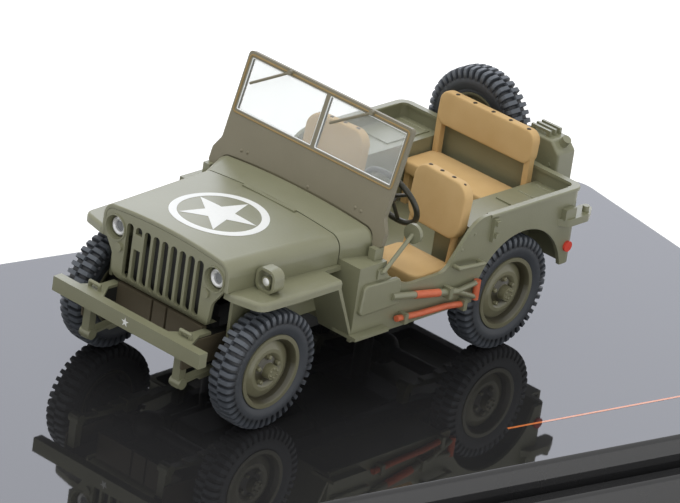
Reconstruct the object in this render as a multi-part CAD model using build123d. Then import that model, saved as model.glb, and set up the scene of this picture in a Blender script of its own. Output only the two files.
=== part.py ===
from build123d import *
import math
import os

os.makedirs("parts", exist_ok=True)

# Driving sizes of the 1:43 model in mm: x to the car's left, y rearwards from
# the middle of the wheelbase, z upwards from the top of the plinth.
wheelbase = 2032 / 43
tyre_radius = 8.5
tyre_width = 4.0
tyre_centre = 14.25
rest_gap = 0.08
bead_radius = 4.9
pin_radius = 0.55
bore_play = 0.05
tub_half = 17.2
tub_rear = 35.6
tub_top = 22.8
sheet = 0.6
floor_top = 11.6
rail_half = 8.65
rail_width = 1.3
hood_front = -29.3
hood_seam = -9.9
hood_half_front = 11.9
hood_half_rear = 13.2
hood_lip = 0.6
hood_play = 0.06
hood_crown = 0.6
hood_shoulder = 2.0
skin = 0.5
cowl_half = 14.95
cowl_rear = -4.7
bonnet_z_front = 24.6
bonnet_z_rear = 24.5
fender_z = 19.9
fender_end = -13.1
fender_lip = 1.2
grille_low = 13.3
lamp_radius = 1.7
lamp_z = 20.95
lamp_side = 2.55
slot_web = 0.46
slot_margin = 0.4
slot_count = 9
door_low = 16.0
door_front = 0.6
door_rear = 8.1
door_top = 13.5
seat_in = 4.9
seat_gap = 1.4
seat_front = 5.2
seat_rear = 13.0
seat_height = 3.2
seat_back_height = 12.1
bench_front = 27.0
bench_height = 6.9
wheel_ring = 4.6
tail_corner = 1.6
bar_count = 58
bar_depth = 0.44
wall_sides = 20
screen_foot = (-4.95, 24.2)
screen_lean = 15.5
screen_half = 15.35
screen_height = 14.95
bumper_half = 13.95
bumper_y = -35.85
spare_side = -5.3
spare_back = 3.0
plinth_turn = 12.4
plinth_width = 77.5
plinth_length = 144.0
plinth_ledge = 3.0
plinth_height = 12.0
plinth_step = 4.4
plinth_groove = 0.9
plinth_offset = (3.45, 1.6)

# Sizes that follow from the driving ones.
front_y = -wheelbase / 2
rear_y = wheelbase / 2
axle_z = tyre_radius + rest_gap
side_in = tub_half - sheet
floor_low = floor_top - sheet
panel_in = tub_rear - sheet
house_in = rail_half + rail_width / 2 - 0.1
house_top = tub_top - 2.3
arch_y = rear_y + 0.3
arch_z = axle_z + 0.8
arch_radius = tyre_radius + 0.7
ledge_z = tub_top - 2.5
sill_z = floor_low - 1.1
tail_z = floor_low + 0.2
panel_joint = arch_y + arch_radius
tyre_in = tyre_centre - tyre_width / 2
rail_low = floor_low - 2.4
rail_nose = floor_low + 1.6
grille_y = hood_front - sheet
seat_out = side_in - seat_gap
spare_centre = (spare_side, tub_rear + spare_back, tub_top)

pieces = {}


def block(x0, x1, y0, y1, z0, z1):
    """A box between two opposite corners."""
    box = Box(x1 - x0, y1 - y0, z1 - z0)
    return Pos((x0 + x1) / 2, (y0 + y1) / 2, (z0 + z1) / 2) * box


def rod(start, end, radius):
    """A round bar between two points."""
    a = Vector(*start)
    b = Vector(*end)
    place = Plane(origin=a, z_dir=b - a)
    bar = Cylinder(radius, (b - a).length, align=(Align.CENTER, Align.CENTER, Align.MIN))
    return place * bar


def bent_rod(points, radius):
    """Round bars end to end with a ball at each bend."""
    bar = rod(points[0], points[1], radius)
    for a, b in zip(points[1:-1], points[2:]):
        bar += Pos(*a) * Sphere(radius)
        bar += rod(a, b, radius)
    return bar


def outline(corners):
    """A closed face from corners (across, up) or (across, up, radius), each turned by its radius."""
    turns = []
    for i, corner in enumerate(corners):
        point = Vector(corner[0], corner[1])
        if len(corner) == 2:
            turns.append((point, None, point))
            continue
        after = corners[(i + 1) % len(corners)]
        to_before = (Vector(*corners[i - 1][:2]) - point).normalized()
        to_after = (Vector(*after[:2]) - point).normalized()
        half_angle = math.radians(to_before.get_angle(to_after)) / 2
        reach = corner[2] / math.tan(half_angle)
        inward = (to_before + to_after).normalized()
        middle = point + inward * (corner[2] / math.sin(half_angle) - corner[2])
        turns.append((point + to_before * reach, middle, point + to_after * reach))
    edges = []
    for i, (start, middle, end) in enumerate(turns):
        if middle is not None:
            edges.append(ThreePointArc(start, middle, end))
        following = turns[(i + 1) % len(turns)][0]
        if (following - end).length > 1e-6:
            edges.append(Line(end, following))
    return make_face(edges)


def side_plate(corners, x0, x1):
    """An outline of (y, z) corners pulled from x0 to x1."""
    return extrude(Plane.YZ.offset(x0) * outline(corners), amount=x1 - x0)


def front_plate(corners, y0, y1):
    """An outline of (x, z) corners pulled from y0 back to y1."""
    place = Plane(origin=(0, y0, 0), x_dir=(1, 0, 0), z_dir=(0, -1, 0))
    return extrude(place * outline(corners), amount=-(y1 - y0))


def flat_plate(corners, z0, z1):
    """An outline of (x, y) corners pulled from z0 up to z1."""
    return extrude(Plane.XY.offset(z0) * outline(corners), amount=z1 - z0)


def mirrored(corners):
    """Corners of one half followed by their mirror images, for an outline even about its middle."""
    return corners + [(-c[0], *c[1:]) for c in reversed(corners)]


def both(shape):
    """A shape and its mirror image on the other side of the car."""
    return [shape, mirror(shape, Plane.YZ)]


def keep(name, shapes):
    """Sets a piece down under its name, as a list of separate solids."""
    if not isinstance(shapes, list):
        shapes = [shapes]
    solids = []
    for shape in shapes:
        solids.extend(shape.solids())
    pieces[name] = solids


# Plinth: a stepped slab with round corners and a groove for its cover, hollow below, turned under the car.
def plinth_slab(width, length, radius, z0, z1):
    """A slab with round corners in the plinth's own turn."""
    face = RectangleRounded(width, length, radius)
    slab = extrude(Plane.XY.offset(z0) * face, amount=z1 - z0)
    return Pos(plinth_offset[0], plinth_offset[1], 0) * Rot(0, 0, -plinth_turn) * slab


ledge_width = plinth_width + 2 * plinth_ledge
ledge_length = plinth_length + 2 * plinth_ledge
groove_low = -plinth_step - plinth_groove
plinth = plinth_slab(plinth_width, plinth_length, 5.0, groove_low - 0.5, 0)
plinth = fillet(plinth.faces().sort_by(Axis.Z)[-1].edges(), 0.6)
ledge = plinth_slab(ledge_width, ledge_length, 6.5, -plinth_height, -plinth_step)
ledge = fillet(ledge.faces().sort_by(Axis.Z)[-1].edges(), 0.6)
groove_width = plinth_width + 2 * plinth_groove
groove_length = plinth_length + 2 * plinth_groove
ledge -= plinth_slab(groove_width, groove_length, 5.0 + plinth_groove, groove_low, 0)
plinth = plinth + ledge
plinth -= plinth_slab(plinth_width - 5, plinth_length - 5, 3.0, -plinth_height, -3.0)
post_front = (0, -1.0)
post_rear = (0, 14.0)
post_radius = 1.3
for px, py in (post_front, post_rear):
    plinth += Pos(px, py, -6.0) * Cylinder(3.6, 6.4)
    plinth -= Pos(px, py, -6.0) * Cylinder(post_radius + 0.05, 20.0)
keep("plinth", plinth)

# Screws that hold the car down through the plinth.
skid_low = rail_low - 2.4
posts = []
for (px, py), top in ((post_front, skid_low), (post_rear, rail_low)):
    shank = rod((px, py, -9.2), (px, py, top), post_radius)
    head = rod((px, py, -10.6), (px, py, -9.2), 2.5)
    slot = block(px - 2.6, px + 2.6, py - 0.3, py + 0.3, -10.7, -10.0)
    posts.append(shank + head - slot)
keep("plinth_screws", posts)

# Chassis frame: two rails that rise at the nose, with cross members between.
rail_end = tub_rear - 0.6
rail_shape = [
    (bumper_y + 1.5, rail_nose),
    (front_y + 7.5, rail_nose),
    (front_y + 12.5, floor_low),
    (rail_end, floor_low),
    (rail_end, rail_low + 0.8),
    (rear_y + 6.0, rail_low + 0.8),
    (rear_y + 3.0, axle_z + 1.15),
    (rear_y - 3.0, axle_z + 1.15),
    (rear_y - 6.0, rail_low + 0.4),
    (front_y + 12.5, rail_low),
    (front_y + 7.5, rail_low + 1.4),
    (bumper_y + 1.5, rail_nose - 1.9),
]
rail_in = rail_half - rail_width / 2
rail_out = rail_half + rail_width / 2
frame = side_plate(rail_shape, rail_in, rail_out)
frame += mirror(frame, Plane.YZ)
nose_member = hood_front + 0.7
frame += block(-rail_in, rail_in, nose_member, nose_member + 1.8, rail_nose - 1.6, rail_nose - 0.2)
frame += block(-rail_in, rail_in, post_rear[1] - 2.2, post_rear[1] + 2.2, rail_low, rail_low + 1.4)
frame += block(-rail_in, rail_in, rail_end - 1.4, rail_end, rail_low + 0.8, floor_low)
skid_half = rail_in - 3.2
skid = mirrored(
    [
        (skid_half - 0.3, skid_low + 0.7, 1.0),
        (rail_in, rail_low + 0.2),
        (rail_out, rail_low + 0.2),
        (rail_out, rail_low - 0.4),
        (skid_half + 0.2, skid_low, 1.6),
    ]
)
frame += front_plate(skid, post_front[1] - 2.4, post_front[1] + 2.4)
keep("chassis_frame", frame)

# Axles: tube, ball-shaped differential set to the car's right, brake drums and
# the pins the wheels turn on.
diff_x = -4.3
drum_in = tyre_in - 0.9
drum_out = tyre_centre - 1.2


def axle(y, cover):
    """One axle across the car at y with the bulge of its cover facing cover."""
    beam = rod((-drum_in, y, axle_z), (drum_in, y, axle_z), 1.0)
    beam += Pos(diff_x, y, axle_z) * Sphere(2.3)
    beam += rod((diff_x, y, axle_z), (diff_x, y + cover * 2.9, axle_z), 1.6)
    for s in (-1, 1):
        beam += rod((s * drum_in, y, axle_z), (s * drum_out, y, axle_z), 3.5)
        beam += rod((s * drum_out, y, axle_z), (s * (tyre_centre + 1.4), y, axle_z), pin_radius)
    return beam


keep("front_axle", axle(front_y, 1))
keep("rear_axle", axle(rear_y, -1))

# Leaf springs under the axles: three bowed leaves, a saddle, and shackles up to the rails.
spring_z = axle_z - 1.0
spring_half = 9.6
leaf_thick = 0.4
leaf_bow = 0.6


def leaf(y, reach, top):
    """One bowed leaf that runs reach each way from y, with its middle at top."""
    low = top - leaf_bow * (reach / spring_half) ** 2
    lines = [
        ThreePointArc((y - reach, low), (y, top), (y + reach, low)),
        Line((y + reach, low), (y + reach, low - leaf_thick)),
        ThreePointArc((y + reach, low - leaf_thick), (y, top - leaf_thick), (y - reach, low - leaf_thick)),
        Line((y - reach, low - leaf_thick), (y - reach, low)),
    ]
    return extrude(Plane.YZ.offset(rail_in) * make_face(lines), amount=rail_width)


springs = []
for y in (front_y, rear_y):
    pack = block(rail_in - 0.3, rail_out + 0.3, y - 1.0, y + 1.0, spring_z - 1.8, spring_z + 0.1)
    for step, reach in enumerate((spring_half, spring_half - 3.2, spring_half - 6.2)):
        pack += leaf(y, reach, spring_z - 0.3 - step * leaf_thick)
    for end in (-1, 1):
        at_nose = y < 0 and end < 0
        high = rail_nose - 1.75 if at_nose else rail_low + (0.45 if y > 0 else 1.0)
        hang_y = y + end * (spring_half + 0.3)
        pack += block(rail_in, rail_out, hang_y - 0.6, hang_y + 0.6, spring_z - 1.7, high)
        pack += rod((rail_in - 0.3, hang_y, spring_z - 1.1), (rail_out + 0.3, hang_y, spring_z - 1.1), 0.75)
    pack -= axle(y, 1)
    pack -= frame
    springs.extend(both(pack))
keep("leaf_springs", springs)

# Engine sump, gearbox, transfer case and the shafts to both axles.
drive = block(-2.6, 2.6, -20.4, -13.0, axle_z + 1.6, floor_low + 1.0)
drive += block(-2.6, 2.6, -20.0, -13.0, axle_z - 1.0, axle_z + 1.8)
drive += rod((0, -13.5, axle_z + 0.3), (0, -2.0, axle_z + 0.1), 2.0)
case_low = skid_low + 0.7
drive += block(-6.4, 1.6, -2.6, 2.0, case_low, floor_low - 0.8)
drive += rod((diff_x, 1.5, axle_z - 0.3), (diff_x, rear_y - 2.9, axle_z), 0.55)
drive += rod((diff_x, -2.0, axle_z - 0.3), (diff_x, front_y + 2.9, axle_z), 0.55)
drive -= frame
drive -= axle(front_y, 1)
drive -= axle(rear_y, -1)
keep("drivetrain", drive)

# Exhaust: pipe and silencer beside the right rail.
pipe = bent_rod(
    [
        (-2.5, -15.0, axle_z + 0.4),
        (-5.6, -12.0, axle_z - 1.1),
        (-10.9, -6.0, axle_z - 1.0),
        (-11.2, 3.0, axle_z),
        (-11.2, 12.6, axle_z),
        (-13.0, 13.6, axle_z - 0.6),
    ],
    0.55,
)
pipe += rod((-11.2, 2.0, axle_z), (-11.2, 10.0, axle_z), 1.45)
pipe += block(-11.5, -10.9, 6.4, 7.0, axle_z, floor_low)
pipe -= drive
keep("exhaust", pipe)

# Front bumper: a channel bar with gusset plates back to the rails and hooks.
bumper_low = rail_nose - 1.45
bumper_high = bumper_low + 2.1
bumper = block(-bumper_half, bumper_half, bumper_y, bumper_y + 1.5, bumper_low, bumper_high)
bumper_hollow = (bumper_y + 0.5, bumper_y + 1.6, bumper_low + 0.5, bumper_high - 0.5)
bumper -= block(-bumper_half, bumper_half, *bumper_hollow)
gusset = [
    (rail_in - 2.2, bumper_y + 1.4),
    (rail_out + 1.6, bumper_y + 1.4),
    (rail_out, bumper_y + 4.6),
    (rail_out, bumper_y + 6.9),
    (rail_in, bumper_y + 6.9),
    (rail_in, bumper_y + 4.6),
]
for plate in both(flat_plate(gusset, rail_nose, rail_nose + 0.4)):
    bumper += plate
hook = bent_rod(
    [
        (rail_half - 0.9, bumper_y + 2.6, rail_nose + 0.2),
        (rail_half - 0.9, bumper_y + 2.6, rail_nose + 1.1),
        (rail_half + 0.9, bumper_y + 2.6, rail_nose + 1.1),
        (rail_half + 0.9, bumper_y + 2.6, rail_nose + 0.2),
    ],
    0.28,
)
for loop in both(hook):
    bumper += loop
keep("front_bumper", bumper)

# Rear bumperettes with the tow hook between them.
rears = []
small = block(9.4, 14.0, tub_rear, tub_rear + 2.2, tail_z, tail_z + 2.0)
small -= block(9.9, 14.0, tub_rear, tub_rear + 1.7, tail_z + 0.4, tail_z + 1.6)
rears.extend(both(small))
tow = block(-1.6, 1.6, tub_rear, tub_rear + 0.6, tail_z + 0.2, tail_z + 2.2)
tow += rod((0, tub_rear + 0.5, tail_z + 1.2), (0, tub_rear + 2.4, tail_z + 1.2), 0.5)
tow += Pos(0, tub_rear + 2.6, tail_z + 1.2) * Rot(0, 90, 0) * Torus(0.75, 0.3)
rears.append(tow)
keep("rear_bumperettes", rears)

# Floor pan with the toe board, notched for the wheel houses.
house_front = rear_y - tyre_radius - 0.7
firewall = hood_seam + 0.1
floor = flat_plate(
    [
        (-side_in, firewall + sheet),
        (side_in, firewall + sheet),
        (side_in, house_front),
        (house_in, house_front),
        (house_in, panel_in),
        (-house_in, panel_in),
        (-house_in, house_front),
        (-side_in, house_front),
    ],
    floor_low,
    floor_top,
)
toe = [
    (firewall + sheet, floor_low),
    (firewall + sheet + 3.4, floor_low),
    (firewall + sheet + 3.4, floor_top),
    (firewall + sheet, floor_top + 3.6),
]
floor += side_plate(toe, -side_in, side_in)
floor -= side_plate(
    [(y, z - sheet) for y, z in toe[2:]] + [(firewall + sheet, floor_low - 1)], -side_in, side_in
)
keep("floor_pan", floor)

# Side panels: swept door cut, wheel arch and rolled top rim.
door = [
    (cowl_rear + 0.3, ledge_z),
    (cowl_rear + 0.6, door_low + 2.6, 1.5),
    (door_front, door_low, 6.0),
    (door_rear, door_low, 2.6),
    (door_top, tub_top, 4.5),
]
side = [
    (firewall, sill_z),
    (firewall, ledge_z),
    *door,
    (panel_joint, tub_top),
    (panel_joint, tail_z),
    (arch_y, tail_z),
    (arch_y, sill_z),
]
panel = side_plate(side, side_in, tub_half)
arch = Pos(0, arch_y, arch_z) * Rot(0, 90, 0) * Cylinder(arch_radius, 4 * tub_half)
panel -= arch
rim_start = door_top + 2.7
rim_out = 0.25
rim_in = 0.3
rim_deep = 0.45
rail = block(side_in - rim_in, tub_half + rim_out, rim_start, panel_joint, tub_top - rim_deep, tub_top)
panel += fillet(rail.edges().filter_by(Axis.Y).group_by(Axis.Z)[-1], 0.18)
keep("side_panel_left", panel)
keep("side_panel_right", mirror(panel, Plane.YZ))

# Rear panel with round corners that wrap to the side panels.
tail_deep = 12.0
tail_place = Pos(0, tub_rear - tail_deep / 2, 0)


def tail_slab(grow, radius, z0, z1):
    """A slab over the tub's rear end, grown by grow all round."""
    face = RectangleRounded(2 * (tub_half + grow), tail_deep + 2 * grow, radius)
    return tail_place * extrude(Plane.XY.offset(z0) * face, amount=z1 - z0)


tail_core = tail_slab(0, tail_corner, 0, tub_top + 1)
ahead = block(-tub_half - 2, tub_half + 2, tub_rear - tail_deep - 2, panel_joint, 0, tub_top + 2)
tail = tail_slab(0, tail_corner, tail_z, tub_top) - tail_slab(-sheet, tail_corner - sheet, tail_z, tub_top)
tail -= ahead
tail -= arch
rim = tail_slab(rim_out, tail_corner + rim_out, tub_top - rim_deep, tub_top)
rim = fillet(rim.faces().sort_by(Axis.Z)[-1].edges(), 0.18)
rim -= tail_slab(-sheet - rim_in, tail_corner - sheet, tub_top - rim_deep - 0.1, tub_top + 0.1)
rim -= ahead
keep("rear_panel", tail + rim)

# Wheel houses: boxes over the rear wheels with the lids of the tool boxes.
house = block(house_in, side_in, house_front, panel_in, floor_low, house_top)
house -= block(house_in + sheet, side_in, house_front + sheet, panel_in - sheet, 0, house_top - sheet)
house += block(house_in + 1.2, side_in - 0.9, rear_y + 1.5, panel_in - 1.0, house_top, house_top + 0.2)
house -= tail
keep("wheel_houses", both(house))


# Hood and cowl: hollow shells with a crowned top and round shoulders.
def shell_face(y, half, top, low, crown, shoulder):
    """The section of the bonnet at y, from low up to a crowned top."""
    edge = top - crown
    turn = shoulder * (1 - math.sqrt(0.5))
    right = half - shoulder
    lines = [
        Line((-half, low), (half, low)),
        Line((half, low), (half, edge - shoulder)),
        ThreePointArc((half, edge - shoulder), (half - turn, edge - turn), (right, edge)),
        ThreePointArc((right, edge), (0, top), (-right, edge)),
        ThreePointArc((-right, edge), (-half + turn, edge - turn), (-half, edge - shoulder)),
        Line((-half, edge - shoulder), (-half, low)),
    ]
    place = Plane(origin=(0, y, 0), x_dir=(1, 0, 0), z_dir=(0, -1, 0))
    return place * make_face(lines)


def bonnet(y0, y1, half0, half1, top0, top1, low, inset):
    """A shell between two sections, or its hollow when inset is given."""
    faces = [
        shell_face(y0, half0 - inset, top0 - inset, low, hood_crown, hood_shoulder - inset),
        shell_face(y1, half1 - inset, top1 - inset, low, hood_crown, hood_shoulder - inset),
    ]
    return loft(faces, ruled=True)


def hood_half(y):
    """Half the hood's width at y."""
    share = (y - hood_front) / (hood_end - hood_front)
    return hood_half_front + share * (hood_half_rear - hood_half_front)


# Front of the grille: a crowned top under the hood's lip, a waist at the fenders and a round foot.
grille_top = bonnet_z_front - hood_lip
foot_half = hood_half_front - 2.85
front = Plane(origin=(0, grille_y, 0), x_dir=(1, 0, 0), z_dir=(0, -1, 0))


def grille_face(grow):
    """The grille's outline, grown by grow at its top and sides."""
    half = hood_half_front - hood_lip + grow
    corners = [
        (foot_half, grille_low, 2.0),
        (foot_half + 0.4, fender_z - 2.6, 1.5),
        (half, fender_z, 1.0),
        (half, grille_top + 1),
    ]
    shoulder = hood_shoulder - hood_lip + grow
    crowned = shell_face(grille_y, half, grille_top + grow, 0, hood_crown, shoulder)
    return (front * outline(mirrored(corners))) & crowned


hood_end = hood_seam - 0.12
hood_ends = (hood_half_front, hood_half_rear, bonnet_z_front, bonnet_z_rear)
hood = bonnet(hood_front, hood_end, *hood_ends, fender_z, 0)
hood -= bonnet(hood_front, hood_end, *hood_ends, fender_z, skin)
nose = shell_face(hood_front, hood_half_front, bonnet_z_front, fender_z, hood_crown, hood_shoulder)
nose = extrude(nose, amount=sheet)
nose = fillet(nose.faces().sort_by(Axis.Y)[0].edges().filter_by(GeomType.CIRCLE), 0.2)
nose -= extrude(grille_face(hood_play), amount=-sheet)
hood += nose
strip_half = 4.9
strip_z = (bonnet_z_rear - 0.4, bonnet_z_rear + 0.15)
hood += block(-strip_half, strip_half, hood_end - 0.7, hood_end - 0.1, *strip_z)
keep("hood", hood)

# Cowl: the flared shell behind the hood, closed by the dash and the fire wall.
cowl_rise = 0.65
cowl_ends = (hood_half_rear, cowl_half, bonnet_z_rear, bonnet_z_rear + cowl_rise)
cowl_solid = bonnet(firewall, cowl_rear, *cowl_ends, ledge_z, 0)
cowl = cowl_solid - bonnet(firewall, cowl_rear, *cowl_ends, ledge_z - 1, skin)
dash_deep = 0.9
dash = cowl_solid - block(-tub_half, tub_half, firewall - 1, cowl_rear - dash_deep, 0, tub_top + 9)
cowl += dash
cowl = fillet(cowl.faces().sort_by(Axis.Y)[-1].edges().filter_by(GeomType.CIRCLE), 0.6)
dash_low = 19.6
cowl += block(1 - cowl_half, cowl_half - 1, cowl_rear - dash_deep, cowl_rear, dash_low, ledge_z)
column_x = (seat_in + seat_out) / 2 - 0.85
column_top = (column_x, seat_front - 1.2, tub_top + 2.4)
column_rise = math.radians(28)
column_run = column_top[1] - firewall - sheet
column_foot = (column_x, firewall + sheet, column_top[2] - column_run * math.tan(column_rise))
column_end = (column_x, column_top[1] - 0.3, column_top[2] - 0.3 * math.tan(column_rise))
column = rod(column_foot, column_end, 0.6)
wall = shell_face(firewall, hood_half_rear - 0.2, bonnet_z_rear - 0.2, ledge_z - 0.7, 0.7, 1.9)
cowl += extrude(wall, amount=-sheet)
cowl += block(-side_in, side_in, firewall, firewall + sheet, floor_low, ledge_z)
for shelf in both(block(hood_half_rear - 0.8, tub_half, firewall, cowl_rear + 0.2, ledge_z, ledge_z + 0.5)):
    cowl += shelf - bonnet(firewall, cowl_rear + 0.3, *cowl_ends, ledge_z, 0.3)
cowl -= rod(column_foot, column_top, 0.65)
keep("cowl", cowl)

# Grille: a plate rolled back at its foot, with tall slots, ringed lamp recesses and marker lamps.
lamp_x = hood_half_front - lamp_side
marker_x = lamp_x - 1.1
marker_z = lamp_z - 2.45
slot_low = grille_low + 1.2
slot_high = grille_top - 1.45
slot_span = lamp_x - lamp_radius - slot_margin
slot_pitch = (slot_span + slot_web / 2) / (slot_count / 2)
slot_width = slot_pitch - slot_web
shelf_end = hood_front + 2.0
shelf_high = grille_low + 0.5
section = [
    (grille_y, grille_top + 1),
    (grille_y, grille_low, 1.6),
    (shelf_end, grille_low),
    (shelf_end, shelf_high),
    (hood_front, shelf_high, 1.0),
    (hood_front, grille_top + 1),
]
grille = side_plate(section, -hood_half_front, hood_half_front)
grille &= extrude(grille_face(0), amount=grille_y - shelf_end)
for i in range(slot_count):
    x = (i - (slot_count - 1) / 2) * slot_pitch
    slot = Pos(x, (slot_low + slot_high) / 2) * SlotOverall(slot_high - slot_low, slot_width, rotation=90)
    grille -= extrude(front * slot, amount=-2 * sheet)
patch_x = -3 * slot_pitch
patch_high = slot_high - 1.1
patch_sides = (patch_x - slot_pitch / 2, patch_x + slot_pitch / 2)
grille += block(*patch_sides, grille_y, hood_front, patch_high - 2.2, patch_high)
for s in (-1, 1):
    grille += rod((s * lamp_x, grille_y - 0.15, lamp_z), (s * lamp_x, hood_front, lamp_z), lamp_radius + 0.2)
    grille -= rod((s * lamp_x, grille_y - 1, lamp_z), (s * lamp_x, hood_front + 1, lamp_z), lamp_radius)
    grille += rod((s * marker_x, grille_y - 0.35, marker_z), (s * marker_x, grille_y + 0.1, marker_z), 0.65)
keep("grille", grille)

# Radiator behind the slots, standing on the front cross member.
core_half = slot_span + 0.3
radiator = block(-core_half, core_half, hood_front + 1.0, hood_front + 2.2, rail_nose - 0.2, slot_high)
keep("radiator", radiator - grille)

# Apron under the grille, between the rails, with two upright grooves.
groove_x = 1.35
apron = block(-rail_in, rail_in, hood_front - 0.2, nose_member, rail_low + 0.8, grille_low)
for x in (-groove_x, groove_x):
    apron -= block(x - 0.2, x + 0.2, hood_front - 0.3, hood_front + 0.2, 0, grille_low + 1)
keep("front_apron", apron)

# Front fenders: flat tops with a rolled lip, inner aprons, rear braces and steps.
fender_outer = [
    (hood_half_front + 0.05, grille_y + 0.55),
    (hood_half_front + 0.75, grille_y + 0.6, 0.4),
    (tub_half - 0.25, front_y - 4.6, 1.8),
    (tub_half, front_y + 2.0, 9.0),
    (tub_half, fender_end),
]
apron_x = tyre_in - 1.35
fender_in = min(apron_x, hood_half_front - 1.0)
fender_plan = [(fender_in, hood_front), (hood_half_front + 0.05, hood_front)] + fender_outer
fender_plan += [(hood_half_rear + 0.6, fender_end), (hood_half_rear + 0.6, firewall), (fender_in, firewall)]
fender = flat_plate(fender_plan, fender_z - fender_lip, fender_z)
rolled = [e for e in fender.faces().sort_by(Axis.Z)[-1].edges() if e.center().X > hood_half_front + 0.3]
rolled = [e for e in rolled if e.center().Y < fender_end - 0.1]
fender = fillet(rolled, 0.5)
hollow = [
    (fender_in - 1, hood_front + 0.6),
    (hood_half_front + 0.75, grille_y + 1.25, 0.4),
    (tub_half - 0.85, front_y - 4.0, 1.3),
    (tub_half - 0.6, front_y + 2.0, 8.6),
    (tub_half - 0.6, fender_end - 0.6),
    (tub_half - 0.6, firewall + 1),
    (fender_in - 1, firewall + 1),
]
fender -= flat_plate(hollow, fender_z - fender_lip - 1, fender_z - sheet)
fender += block(apron_x, apron_x + 0.5, hood_front + 1.5, firewall, rail_nose, fender_z - sheet)
brace = [
    (fender_end - 0.6, fender_z - sheet),
    (fender_end, fender_z - sheet),
    (fender_end, fender_z - fender_lip),
    (firewall, sill_z + 1.4),
    (firewall, sill_z + 0.4),
    (fender_end - 0.6, fender_z - fender_lip),
]
fender += side_plate(brace, tyre_in - 1.0, tub_half)
step_out = 1.3
step_low = sill_z + 0.7
fender += block(tub_half, tub_half + step_out, firewall, cowl_rear + 1.1, step_low, step_low + 0.5)
fender += block(tub_half - 3.0, tub_half + step_out, firewall - 0.5, firewall, step_low, step_low + 0.5)
keep("fender_left", fender)
keep("fender_right", mirror(fender, Plane.YZ))

# Headlamps: cups behind the recesses, each with a ring round its clear lens on the cup's floor.
lamp_floor = hood_front + 0.75
rim_radius = lamp_radius - 0.45
lens_radius = lamp_radius - 0.8
cup = rod((lamp_x, hood_front, lamp_z), (lamp_x, lamp_floor + 0.9, lamp_z), lamp_radius)
cup -= rod((lamp_x, hood_front - 1, lamp_z), (lamp_x, lamp_floor, lamp_z), lamp_radius - 0.15)
cup += rod((lamp_x, lamp_floor - 0.25, lamp_z), (lamp_x, lamp_floor + 0.1, lamp_z), rim_radius)
cup -= rod((lamp_x, hood_front - 1, lamp_z), (lamp_x, lamp_floor + 0.3, lamp_z), lens_radius)
keep("headlamps", both(cup))
lens = rod((lamp_x, lamp_floor - 0.3, lamp_z), (lamp_x, lamp_floor + 0.3, lamp_z), lens_radius)
lens = fillet(lens.faces().sort_by(Axis.Y)[0].edges(), 0.25)
keep("headlamp_lenses", both(lens))

# Blackout lamp on the left fender under a hooped guard.
guard_size = 3.4
lamp_y = front_y - 0.7
lamp_base = (hood_half(lamp_y) + 0.2 + guard_size / 2, lamp_y)
lamp_up = fender_z + 1.5
drive_lamp = rod((*lamp_base, fender_z), (*lamp_base, fender_z + 1.2), 0.4)
drive_lamp += rod((lamp_base[0], lamp_y - 0.7, lamp_up), (lamp_base[0], lamp_y + 0.8, lamp_up), 0.75)
hoop_face = RectangleRounded(guard_size, guard_size, 1.2)
hoop_face -= RectangleRounded(guard_size - 0.8, guard_size - 0.8, 0.8)
hoop_place = Plane(origin=(lamp_base[0], lamp_y - 0.9, fender_z), x_dir=(1, 0, 0), z_dir=(0, -1, 0))
guard = extrude(hoop_place * Pos(0, guard_size / 2) * hoop_face, amount=-1.9)
keep("blackout_lamp", guard + drive_lamp)

# Windscreen: lower panel and two-light upper frame, leaning back from the cowl.
lean = math.radians(screen_lean)
screen = Plane(
    origin=(0, screen_foot[0], screen_foot[1]), x_dir=(1, 0, 0), z_dir=(0, -math.cos(lean), math.sin(lean))
)
frame_depth = 0.8
light_low = 6.6
light_high = screen_height - 0.85
light_half = screen_half - 0.85
ear = 1.05
shield_half = [
    (screen_half, screen_height, 0.6),
    (screen_half, 2.2, 1.0),
    (screen_half + ear, 0.4, 1.0),
    (screen_half + ear, -1.8, 0.5),
    (cowl_half + 0.1, -1.8),
    (cowl_half - 1.6, -0.4),
]
shield = extrude(screen * outline(mirrored(shield_half)), amount=-frame_depth)
lights = []
for s in (-1, 1):
    mid = s * (light_half + 0.35) / 2
    light = Pos(mid, (light_low + light_high) / 2) * Rectangle(light_half - 0.35, light_high - light_low)
    shield -= extrude(screen * light, amount=-frame_depth)
    lights.append(extrude(screen.offset(-frame_depth / 4) * light, amount=-frame_depth / 2))
shield -= cowl_solid
keep("windscreen_frame", shield)
keep("windscreen_glass", lights)


def on_screen(x, h, out):
    """The point x across, h up the windscreen and out in front of its face."""
    point = screen.from_local_coords((x, h, out))
    return (point.X, point.Y, point.Z)


# Wipers hung from the top rail, and the hinge brackets at the windscreen's foot.
wipers = []
for pivot, sweep in ((-7.3, -6.0), (8.1, -6.2)):
    top = screen_height - 0.4
    arm = rod(on_screen(pivot, top, 0.35), on_screen(pivot + sweep, top - 3.8, 0.35), 0.2)
    arm += rod(on_screen(pivot, top, 0), on_screen(pivot, top, 0.6), 0.35)
    wipers.append(arm)
keep("wipers", wipers)
hinge_z = (ledge_z + 0.5, ledge_z + 2.2)
hinge = block(cowl_half + 0.25, screen_half + ear, cowl_rear - 1.6, cowl_rear + 0.1, *hinge_z)
hinge -= shield
keep("windscreen_hinges", both(hinge.solids().sort_by(Axis.Y)[0]))


# Front seats: cushion on legs, side tubes and a round-shouldered back.
def cushion(x0, x1, y0, y1, z0, z1, soft):
    """A block with soft upright corners and a soft upper rim."""
    pad = block(x0, x1, y0, y1, z0, z1)
    pad = fillet(pad.edges().filter_by(Axis.Z), soft)
    return fillet(pad.faces().sort_by(Axis.Z)[-1].edges(), soft * 0.6)


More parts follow.
